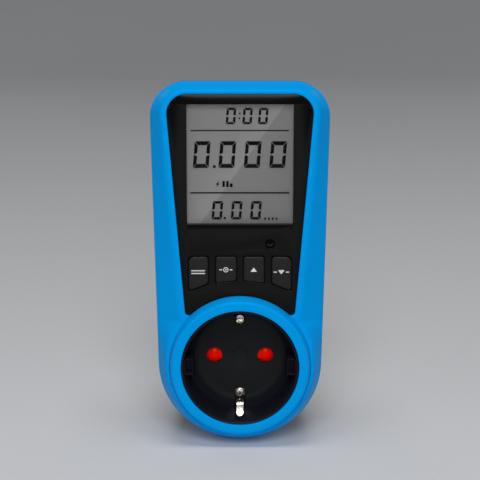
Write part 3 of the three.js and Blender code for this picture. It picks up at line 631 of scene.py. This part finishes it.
def front_shell():
    edge = body_outline(0.42)
    crest = crest_outline()
    opening = opening_outline()

    def flat_loop(outline, depth):
        return [at(x, depth, z) for x, z in outline]

    loops = [flat_loop(body_outline(FRONT_DRAFT + 1.6), PARTING)]
    for inset, depth in [(0.25, 0), (0.07, 0.07), (0, 0.25)]:
        loops.append(flat_loop(body_outline(FRONT_DRAFT + inset), PARTING - depth))
    for depth in (18, 14.5, 11.2):
        draft = FRONT_DRAFT * (depth - WALL_TOP) / (PARTING - WALL_TOP)
        loops.append(flat_loop(body_outline(draft), depth))
    for inset, depth in [(0, 1.2), (0.03, 0.82), (0.12, 0.46), (0.25, 0.19)]:
        loops.append(flat_loop(body_outline(inset), SHOULDER + depth))
    # The slope is straight, and rounds over near its inner end.
    for share in (0, 0.2, 0.4, 0.55, 0.66, 0.75, 0.83, 0.9, 0.96, 1):
        loop = []
        for outer, inner in zip(edge, crest):
            width = math.dist(outer, inner)
            easing = min(2.4, 0.5 * width)
            grade = (SHOULDER - CREST) / (width - easing / 2)
            left = width * (1 - share)
            if left > easing:
                drop = grade * (left - easing / 2)
            else:
                drop = grade * left ** 2 / (2 * easing)
            x, z = lerp(outer, inner, share)
            loop.append(at(x, CREST + drop, z))
        loops.append(loop)
    for gap, depth in [(0.35, 0), (0.1, 0.09), (0.02, 0.2), (0, 0.35), (0, 3.2)]:
        loop = []
        for inner, hole in zip(crest, opening):
            reach = max(math.dist(inner, hole), 1e-6)
            x, z = lerp(hole, inner, min(1.0, gap / reach))
            loop.append(at(x, CREST + depth, z))
        loops.append(loop)

    ring = [
        (RING_BASE - 0.2, 9.0),
        (RING_BASE, CREST + 1.2),
        (RING_BASE - 0.06, CREST + 0.2),
        (RING_OUTER + 0.05, 1.05),
        (RING_OUTER - 0.04, 0.72),
        (RING_OUTER - 0.2, 0.4),
        (RING_OUTER - 0.46, 0.16),
        (RING_OUTER - 0.8, 0.03),
        (RING_OUTER - 1.1, 0),
        (RING_INNER + 0.45, 0),
        (RING_INNER + 0.2, 0.04),
        (RING_INNER + 0.05, 0.16),
        (RING_INNER, 0.4),
        (RING_INNER, 9.0),
    ]
    shell = mesh_object("front_shell_skin", *combined(loft(loops), revolved(ring, steps=180)))
    finish_piece(shell, blue_plastic, HOUSING, ["front_shell"], angle=50)


def rear_shell():
    start = FRONT_DRAFT + REAR_STEP
    fillet = 3.4

    def loop(inset, depth):
        return [at(x, depth, z) for x, z in body_outline(inset)]

    loops = [loop(start + 0.25, PARTING + 0.4), loop(start + 0.07, PARTING + 0.47),
             loop(start, PARTING + 0.65)]
    for depth in (26, 30, 34, 36):
        loops.append(loop(start + 1.1 * (depth - PARTING) / 14, depth))
    for i in range(1, 11):
        angle = math.radians(9 * i)
        inset = start + 1.15 + fillet * (1 - math.cos(angle))
        depth = HOUSING_DEPTH - fillet + fillet * math.sin(angle)
        loops.append(loop(inset, depth))
    shell = mesh_object("rear_shell_skin", *loft(loops, caps=(True, True)))
    cavity = mesh_object("cutter", *loft(
        [loop(start + 1.6, PARTING - 1), loop(start + 3.2, 36.5),
         loop(start + 4.9, HOUSING_DEPTH - 2)], caps=(True, True)))
    cut_away(cavity, [rod_cutter(x, z, 3.8, 20, 41) for x, z in CASE_SCREWS])
    holes = [rod_cutter(0, 0, 18.75, HOUSING_DEPTH - 3, 41, 128)]
    for x, z in CASE_SCREWS:
        holes += [rod_cutter(x, z, 1.6, 19, 41, 32), rod_cutter(x, z, 2.8, 34, 41)]
    cut_away(shell, [cavity] + holes)
    finish_piece(shell, black_plastic, HOUSING, ["rear_shell"], angle=30)


CASE_SCREWS = [(-24, 88), (24, 88), (-23.5, 20), (23.5, 20)]
CASE_SCREW_NODES = ["case_screw_upper_left", "case_screw_upper_right",
                    "case_screw_lower_left", "case_screw_lower_right"]


def case_screws():
    for node, (x, z) in zip(CASE_SCREW_NODES, CASE_SCREWS):
        profile = eased([(0, 12.5), (0.9, 12.5), (1.2, 14), (1.2, 34.05), (2.5, 34.05), (2.5, 35.0),
                         (1.7, 35.62), (0, 35.65)], 0.25, 3)
        screw = mesh_object(f"{node}_turned", *revolved(profile, x, z, 40))
        cross = [box_cutter(x - 1.45, x + 1.45, 34.8, 37, z - 0.28, z + 0.28),
                 box_cutter(x - 0.28, x + 0.28, 34.8, 37, z - 1.45, z + 1.45)]
        cut_away(screw, cross)
        finish_piece(screw, steel, HOUSING, [node])


def rating_label():
    outline = rounded_rectangle(-15, 15, 36, 76, 1.5)
    label = plate("rating_label_sheet", [outline], 40.02, 40.2, bevel=0.05, resolution=2)
    finish_piece(label, label_film, HOUSING, ["rating_label"])
    rule = rounded_rectangle(-13.6, 13.6, 37.4, 74.6, 1.0)
    inner = rounded_rectangle(-13.3, 13.3, 37.7, 74.3, 0.8)
    border = plate("rating_label_border", [rule, inner], 40.19, 40.24, bevel=0.01, resolution=1)
    finish_piece(border, lcd_ink, HOUSING)


# ---------------------------------------------------------------- panel, display and keys

RESET_X, RESET_Z = 10.84, 45.4
KEY_GAP = 0.26
INNER_KEY = [(1.35, 31.9), (8.7, 31.0), (8.7, 40.7), (1.35, 40.7)]
OUTER_KEY = [(11.5, 30.9), (18.5, 28.0), (18.5, 40.7), (11.5, 40.7)]
INNER_RADII = [0.9, 0.9, 0.7, 0.7]
OUTER_RADII = [1.0, 1.9, 2.2, 1.2]
KEYS = {
    "function": (mirrored(OUTER_KEY), OUTER_RADII[::-1], (-15, 35.5)),
    "cost": (mirrored(INNER_KEY), INNER_RADII[::-1], (-5, 36.2)),
    "up": (INNER_KEY, INNER_RADII, (5, 36.2)),
    "down": (OUTER_KEY, OUTER_RADII, (15, 35.5)),
}


def grown(corners, distance):
    """A polygon, anticlockwise, with each side moved outwards by a distance."""
    moved = []
    for i, corner in enumerate(corners):
        before = Vector(corner) - Vector(corners[i - 1])
        after = Vector(corners[(i + 1) % len(corners)]) - Vector(corner)
        before.normalize()
        after.normalize()
        outward = Vector((before.y + after.y, -before.x - after.x))
        moved.append(tuple(Vector(corner) + outward * distance / (1 + before.dot(after))))
    return moved


def fascia_panel():
    window = rounded_rectangle(-LCD_WIDTH / 2, LCD_WIDTH / 2, LCD_Z - LCD_HEIGHT / 2,
                               LCD_Z + LCD_HEIGHT / 2, 0.35, 3)
    holes = [rounded(grown(key[0], KEY_GAP), key[1]) for key in KEYS.values()]
    reset = circle(RESET_X, RESET_Z, 1.75, 40)
    panel = plate("fascia_panel_gloss", [panel_outline(0.06), window, reset] + holes,
                  PANEL_FRONT, PANEL_BACK, bevel=0.16)
    cone = [(1.85, PANEL_FRONT + 0.12), (1.5, PANEL_FRONT + 0.55), (1.4, PANEL_FRONT + 0.75),
            (1.4, PANEL_BACK)]
    guide = mesh_object("reset_guide", *revolved(cone, RESET_X, RESET_Z, 40))
    panel = join("fascia_panel_gloss", [panel, guide])
    finish_piece(panel, black_gloss, HOUSING, ["fascia_panel"])


# How far a digit leans to the right, as a share of its height.
ITALIC = 0.078
SEGMENT_GAP = 0.2
MIDDLE_GAP = 0.56


def zero_digit(x, z, width, height, upright, bar):
    """The outlines of a 0 about the centre (x, z): six segments that lean to the right. upright and
    bar are the widths of their strokes."""
    lean = ITALIC * height
    right, top, gap = width - lean, height, SEGMENT_GAP
    bar_above = [(gap, top), (right - gap, top), (right - upright, top - bar),
                 (upright, top - bar)]
    middle = (top - MIDDLE_GAP) / 2 + MIDDLE_GAP
    slant = upright * 0.5
    side_above = [(0, top - gap), (0, middle), (upright - slant, middle),
                  (upright, middle + slant * 0.6), (upright, top - bar - gap * 0.9)]
    shapes = []
    for shape in (bar_above, side_above):
        flipped = [(right - u, v) for u, v in reversed(shape)]
        shapes += [shape, [(right - u, top - v) for u, v in shape]]
        if shape is side_above:
            shapes += [flipped, [(u, top - v) for u, v in reversed(shape)]]
    left, bottom = x - width / 2, z - height / 2
    return [[(left + u + lean * v / top, bottom + v) for u, v in shape] for shape in shapes]


def dot(x, z, size):
    half = size / 2
    return rounded_rectangle(x - half, x + half, z - half, z + half, half * 0.5, 2)


def unit_mark(x, z, height):
    """A spark and two blocks that stand for the display's unit, from the lower left corner."""
    spark = [(0.15, 0), (1.5, 1.25), (0.85, 1.25), (1.35, height), (0, 0.95), (0.65, 0.95)]
    shapes = [[(x + u, z + v) for u, v in spark]]
    for left, right, top in ((2.45, 3.35, height), (3.8, 4.7, height), (5.1, 6.1, height * 0.6)):
        shapes.append(rectangle(x + left, x + right, z, z + top))
    return shapes


def lcd_marks():
    shapes = []
    for x in (-3.21, 2.68, 8.24):
        shapes += zero_digit(x, 91.33, 3.8, 5.8, 0.86, 0.78)
    shapes += [dot(-0.07, 92.25, 0.58), dot(-0.25, 90.53, 0.58)]
    for x in (-13.65, -4.53, 4.53, 13.61):
        shapes += zero_digit(x, 77.51, 6.4, 9.6, 1.22, 1.42)
    shapes.append(dot(-9.17, 73.2, 0.98))
    for x in (-8.13, -1.2, 5.71):
        shapes += zero_digit(x, 57.27, 4.28, 6.68, 0.95, 0.88)
    shapes.append(dot(-5.46, 54.42, 0.78))
    shapes.append(rectangle(-17.6, 17.5, 85.96, 86.34))
    shapes.append(rectangle(-17.75, 17.65, 63.4, 63.88))
    shapes += unit_mark(-8.75, 65.75, 2.18)
    # A row of small blocks stands for the display's small legend.
    for x in (9.0, 10.4, 11.75, 13.1):
        shapes.append(rectangle(x - 0.32, x + 0.32, 53.75, 54.6))
    return shapes


def lcd():
    cell = plate("lcd_face", [rounded_rectangle(-19.8, 19.8, LCD_Z - 22.6, LCD_Z + 22.6, 0.3)],
                 7.15, 9.2, bevel=0.1)
    # The display face carries the painted reflection in its grey.
    finish_piece(cell, lcd_grey_painted_reflection, HOUSING, ["lcd_cell"])
    pieces = [plate("lcd_mark", [shape], 6.98, 7.06, bevel=0.015, resolution=1)
              for shape in lcd_marks()]
    marks = join("lcd_segments", pieces)
    finish_piece(marks, lcd_ink, HOUSING)
    outline = rounded_rectangle(-LCD_WIDTH / 2 + 0.12, LCD_WIDTH / 2 - 0.12,
                                LCD_Z - LCD_HEIGHT / 2 + 0.12, LCD_Z + LCD_HEIGHT / 2 - 0.12, 0.3)
    lens = plate("lcd_lens_sheet", [outline], 4.75, 6.2, bevel=0.08)
    finish_piece(lens, lens_clear, HOUSING, ["lcd_lens"])


def key_icon(name):
    """White marks that stand for each key's word, about as wide and high as the word."""
    if name == "function":
        x, z = -15.1, 35.1
        return [rounded_rectangle(x - 2.5, x + 2.5, z + dz - 0.2, z + dz + 0.2, 0.14, 2)
                for dz in (-0.5, 0.5)]
    x, z = {"cost": (-5.1, 35.95), "up": (4.95, 35.95), "down": (14.9, 35.1)}[name]
    if name == "cost":
        return [circle(x, z, 0.95, 32), circle(x, z, 0.66, 32), circle(x, z, 0.3, 20)]
    side = 1 if name == "up" else -1
    corners = [(x - 1.2, z - 0.75 * side), (x + 1.2, z - 0.75 * side), (x, z + 0.85 * side)]
    if side < 0:
        corners.reverse()
    return [rounded(corners, [0.25] * 3, 3)]


def side_bars(name):
    """Short bars on both sides of a mark."""
    if name not in ("cost", "down"):
        return []
    x, z, near, far = {"cost": (-5.1, 35.95, 1.35, 2.35), "down": (14.9, 35.1, 1.6, 2.8)}[name]
    return [rounded_rectangle(x0, x1, z - 0.2, z + 0.2, 0.14, 2)
            for x0, x1 in ((x - far, x - near), (x + near, x + far))]


def keys():
    for name, (corners, radii, (x, z)) in KEYS.items():
        node = f"{name}_key"
        cap = plate(f"{name}_cap", [rounded(corners, radii)], PANEL_FRONT - 0.4, PANEL_BACK + 0.4,
                    bevel=0.3)
        flange = plate(f"{name}_flange", [rounded(grown(corners, 0.75), radii)], PANEL_BACK + 0.3,
                       PANEL_BACK + 1.1, bevel=0.1)
        stem = mesh_object(f"{name}_stem", *revolved(
            eased([(0, 8.3), (1.5, 8.3), (1.5, 7.8)], 0.2), x, z, 32))
        whole = join(f"{name}_keytop", [cap, flange, stem])
        finish_piece(whole, key_plastic, f"{name}_button", [node])
        front = PANEL_FRONT - 0.4
        shapes = key_icon(name)
        groups = [shapes] if name == "cost" else [[shape] for shape in shapes]
        groups += [[shape] for shape in side_bars(name)]
        icons = [plate(f"{name}_mark", group, front - 0.03, front + 0.05, bevel=0.01, resolution=1)
                 for group in groups]
        icon = join(f"{name}_icon", icons) if len(icons) > 1 else icons[0]
        icon.name = f"{name}_icon"
        finish_piece(icon, white_ink, f"{name}_button")


# ---------------------------------------------------------------- socket

def socket_insert():
    wall = [
        (21.25, 19.6), (21.25, 0.62), (21.17, 0.5), (21.05, 0.45), (20.85, 0.5), (20.55, 0.8),
        (20.38, 1.2), (20.3, 1.7), (20.0, 6), (19.7, 9.5), (19.4, WELL_DEPTH - 4.8),
    ]
    corner = eased([(19.4, WELL_DEPTH - 4.8), (19.15, WELL_DEPTH - 3.8), (17.0, WELL_DEPTH - 0.9),
                    (15.6, WELL_DEPTH), (12, WELL_DEPTH)], 1.1, 5)
    profile = wall + corner[1:] + [
        (3.3, WELL_DEPTH), (3.15, WELL_DEPTH + 0.04), (3.0, WELL_DEPTH + 0.18),
        (2.8, WELL_DEPTH + 0.25), (0, WELL_DEPTH + 0.25), (0, 18.7), (13.2, 18.7), (13.2, 19.7),
        (21.25, 19.7)]
    cup = mesh_object("socket_cup", *revolved(profile, steps=144))
    cutters = []
    for side in (-1, 1):
        slot = sorted((side * 15, side * 20.85))
        root = sorted((side * 16, side * 20.3))
        foot = sorted((side * 12.8, side * 16.5))
        cutters.append(box_cutter(-2.1, 2.1, 12.5, WELL_DEPTH - 0.01, *slot))
        cutters.append(box_cutter(-2.1, 2.1, WELL_DEPTH - 0.8, 19.3, *root))
        cutters.append(box_cutter(-1.6, 1.6, WELL_DEPTH - 0.8, 22, *foot))
        cutters.append(rod_cutter(side * PIN_X, 0, 2.95, WELL_DEPTH - 1, 22))
    cut_away(cup, cutters)
    # Floor faces take the lighter copy of the well's black, painted light on the well floor.
    cup.data.materials.append(well_plastic)
    cup.data.materials.append(floor_plastic_painted_light)
    floor_y = at(0, WELL_DEPTH - 0.9, 0).y
    for face in cup.data.polygons:
        face.material_index = int(face.normal.y < -0.6 and face.center.y > floor_y)
    rims = []
    for side in (-1, 1):
        rim = [(3.2, WELL_DEPTH - 0.005), (3.1, WELL_DEPTH + 0.03), (2.96, WELL_DEPTH + 0.18),
               (2.94, 18.68)]
        rims.append(mesh_object("pin_hole_rim", *revolved(rim, side * PIN_X, 0, 48)))
    ribs = []
    for side in (-1, 1):
        x0, x1 = sorted((side * 17.3, side * 20.6))
        p0, p1 = sorted((side * 17.55, side * 19.9))
        outer = rounded_rectangle(x0, x1, -2.95, 2.95, 0.2, 4)
        pocket = rounded_rectangle(p0, p1, -2.55, 2.7, 0.15, 4)
        ribs.append(plate("guide_rib_lip", [outer, pocket], 2.6, 8.6, bevel=0.05))
        ribs.append(plate("guide_rib", [outer], 8.4, WELL_DEPTH + 0.3, bevel=0.05))
    ears = []
    for side in (-1, 1):
        x0, x1 = sorted((side * 20.6, side * 26.1))
        outline = rounded_rectangle(x0, x1, -2.2, 2.2, 1.6, 6)
        ears.append(plate("screw_ear", [outline, circle(side * EAR_X, 0, 1.1, 24)], 16.3, 18.3,
                          bevel=0.2))
    pivot = mesh_object("shutter_pivot", *revolved(
        eased([(1.5, 18.6), (1.5, 22), (0.75, 22), (0.75, 19.5)], 0.15), 0, 0, 32))
    for piece in rims + ribs + ears + [pivot]:
        piece.data.materials.append(well_plastic)
    whole = join("socket_well", [cup] + rims + ribs + ears + [pivot])
    finish_piece(whole, None, HOUSING, ["socket_insert"])


SHUTTER_FRONT, SHUTTER_BACK = 18.95, 20.65


def safety_shutter():
    front, back = SHUTTER_FRONT, SHUTTER_BACK
    arm = plate("shutter_arm", [rounded_rectangle(-8, 8, -1.9, 1.9, 1)], front + 0.2, back, 0.15)
    hub = plate("shutter_hub", [circle(0, 0, 3.1), circle(0, 0, 1.62)], front, back, 0.15)
    pads = []
    for side in (-1, 1):
        dome = [(0, front + 0.02), (0.8, front + 0.07), (1.6, front + 0.24), (2.3, front + 0.5),
                (2.8, front + 0.82), (3.15, front + 1.15), (3.3, front + 1.4), (3.3, back - 0.1),
                (3.1, back), (0, back)]
        pads.append(mesh_object("shutter_pad", *revolved(dome, side * PIN_X, 0, 48)))
    whole = join("shutter_moulding", [arm, hub] + pads)
    finish_piece(whole, red_plastic, "shutter", ["safety_shutter"])


def smooth_path(points, steps):
    """Catmull-Rom points through (z, depth) points."""
    padded = [points[0]] + list(points) + [points[-1]]
    path = []
    for i in range(1, len(padded) - 2):
        p0, p1, p2, p3 = padded[i - 1:i + 3]
        for k in range(steps):
            t = k / steps
            path.append(tuple(
                0.5 * ((2 * b) + (c - a) * t + (2 * a - 5 * b + 4 * c - d) * t ** 2
                       + (3 * b - a - 3 * c + d) * t ** 3)
                for a, b, c, d in zip(p0, p1, p2, p3)))
    return path + [points[-1]]


def spring_blade(side):
    """A flat spring strip along a bowed line, with a rounded free end."""
    line = [(19.1, 19.0), (19.0, 16.4), (17.9, 13.4), (15.6, 11.0), (14.65, 9.0), (15.4, 7.2),
            (17.7, 5.2), (19.3, 4.2)]
    path = smooth_path([(side * z, depth) for z, depth in line], 8)
    lengths = [0.0]
    for a, b in zip(path, path[1:]):
        lengths.append(lengths[-1] + math.dist(a, b))
    half_width, half_thick, bevel = 1.29, 0.25, 0.09
    loops = []
    for i, ((z, depth), length) in enumerate(zip(path, lengths)):
        before = path[max(i - 1, 0)]
        after = path[min(i + 1, len(path) - 1)]
        run = math.dist(before, after)
        nz, nd = -(after[1] - before[1]) / run, (after[0] - before[0]) / run
        left = lengths[-1] - length
        reach = half_width
        if left < half_width:
            reach = math.sqrt(max(0.04, half_width ** 2 - (half_width - left) ** 2))
        section = [(-reach + bevel, -half_thick), (reach - bevel, -half_thick),
                   (reach, -half_thick + bevel), (reach, half_thick - bevel),
                   (reach - bevel, half_thick), (-reach + bevel, half_thick),
                   (-reach, half_thick - bevel), (-reach, -half_thick + bevel)]
        loops.append([at(x, depth + nd * t, z + nz * t) for x, t in section])
    return loft(loops, caps=(True, True))


def earth_contacts():
    for side, place in ((1, "upper"), (-1, "lower")):
        clip = mesh_object(f"{place}_spring_blade", *spring_blade(side))
        finish_piece(clip, nickel, f"{place}_clip", [f"{place}_earth_clip"])
        foot = [(13.1, 18.1), (16.2, 18.1), (16.2, 20.45), (19.6, 20.45), (19.6, 21.4),
                (18.25, 22.8), (18.25, 54.2), (17.55, 55), (17.55, 22.5), (18.8, 21.1),
                (15.55, 21.1), (15.55, 18.75), (13.1, 18.75)]
        outline = [(side * z, depth) for z, depth in foot]
        verts = [at(x, depth, z) for x in (-1.15, 1.15) for z, depth in outline]
        count = len(outline)
        faces = [(i, (i + 1) % count, (i + 1) % count + count, i + count) for i in range(count)]
        faces += [tuple(range(count)), tuple(range(2 * count - 1, count - 1, -1))]
        strap = mesh_object(f"{place}_strap_strip", verts, faces)
        bevel_edges(strap, 0.12)
        finish_piece(strap, nickel, HOUSING, [f"{place}_earth_strap"])


# ---------------------------------------------------------------- plug

def plug_nose():
    rounding = 1.5
    profile = [(15.9, 36), (20.6, 36), (20.6, 37.7), (NOSE_RADIUS, 37.7), (NOSE_RADIUS, 40.0),
               (NOSE_RADIUS, 48), (NOSE_RADIUS, NOSE_FACE - 1.9)]
    for i in range(0, 10):
        angle = math.radians(10 * i)
        profile.append((NOSE_RADIUS - rounding * (1 - math.cos(angle)),
                        NOSE_FACE - rounding + rounding * math.sin(angle)))
    profile += [(14.5, NOSE_FACE), (14.2, NOSE_FACE - 0.25), (13.9, NOSE_FACE - 0.3),
                (0, NOSE_FACE - 0.3), (0, NOSE_FACE - 2.4), (15.9, NOSE_FACE - 2.4), (15.9, 36)]
    nose = mesh_object("nose_turned", *revolved(profile, steps=144))
    cutters = []
    for side in (-1, 1):
        across = sorted((side * 16.5, side * 22))
        upright = sorted((side * 17.2, side * 22))
        cutters.append(box_cutter(*across, HOUSING_DEPTH + 0.3, NOSE_FACE + 1, -3.7, 3.7))
        cutters.append(box_cutter(-2.4, 2.4, 35, NOSE_FACE - 1.4, *upright))
        cutters.append(rod_cutter(side * PIN_X, 0, 2.45, 53, 58))
    cut_away(nose, cutters)
    collars = []
    for side in (-1, 1):
        ring = [(3.6, NOSE_FACE - 0.31), (3.5, NOSE_FACE - 0.02), (2.9, NOSE_FACE - 0.01),
                (2.6, NOSE_FACE - 0.12), (2.45, NOSE_FACE - 0.4)]
        collars.append(mesh_object("pin_collar", *revolved(ring, side * PIN_X, 0, 48)))
    whole = join("plug_body", [nose] + collars)
    finish_piece(whole, black_plastic, HOUSING, ["plug_nose"])


def plug_pins():
    tip = NOSE_FACE + PIN_LENGTH
    for side, name in ((1, "line"), (-1, "neutral")):
        profile = [(0, 37.4), (1.4, 37.4), (1.6, 37.6), (1.6, 50), (3.3, 50), (3.3, 54.4),
                   (PIN_RADIUS, 54.4), (PIN_RADIUS, tip - PIN_RADIUS)]
        for i in range(1, 10):
            angle = math.radians(10 * i)
            profile.append((PIN_RADIUS * math.cos(angle),
                            tip - PIN_RADIUS + PIN_RADIUS * math.sin(angle)))
        pin = mesh_object(f"{name}_pin_turned", *revolved(profile, side * PIN_X, 0, 48))
        finish_piece(pin, nickel, HOUSING, [f"{name}_pin"])


# ---------------------------------------------------------------- carried-over nodes

CARRIED = [
    (film, ["lcd_reflector"]),
    (white_plastic, ["lcd_holder", "contact_carrier"]),
    (rubber, ["zebra_strip", "ribbon_cable"]),
    (solder_mask, ["display_board", "power_board"]),
    (chip_resin, ["controller_chip", "metering_chip", "reset_switch"]),
    (steel, ["clock_crystal", "display_board_screw_left", "display_board_screw_right",
             "power_board_screw_left", "power_board_screw_right", "insert_screw_left",
             "insert_screw_right", "shutter_screw", "shutter_spring"]),
    (green_sleeve, ["backup_battery"]),
    # Painted shade: the reset plunger takes the display segments' near-black so that the reset hole
    # reads as dark as a shadowed hole.
    (lcd_ink, ["reset_plunger"]),
    (brass, ["line_contact", "neutral_contact"]),
    (yellow_case, ["film_capacitor"]),
    (blue_sleeve, ["smoothing_capacitor", "varistor", "neutral_lead"]),
    (copper_alloy, ["current_shunt"]),
    (brown_sleeve, ["line_lead"]),
]


def dress_carried_nodes():
    finishes = {node: material for material, nodes in CARRIED for node in nodes}
    for name in KEYS:
        finishes[f"{name}_switch"] = chip_resin
        finishes[f"{name}_plunger"] = white_plastic
    for node, material in finishes.items():
        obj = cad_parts[node]
        obj.data.materials.clear()
        obj.data.materials.append(material)


# ---------------------------------------------------------------- assembly

add_camera()
add_studio()
add_floor(floor_paper)
front_shell()
rear_shell()
case_screws()
rating_label()
fascia_panel()
lcd()
keys()
socket_insert()
safety_shutter()
earth_contacts()
plug_nose()
plug_pins()
dress_carried_nodes()
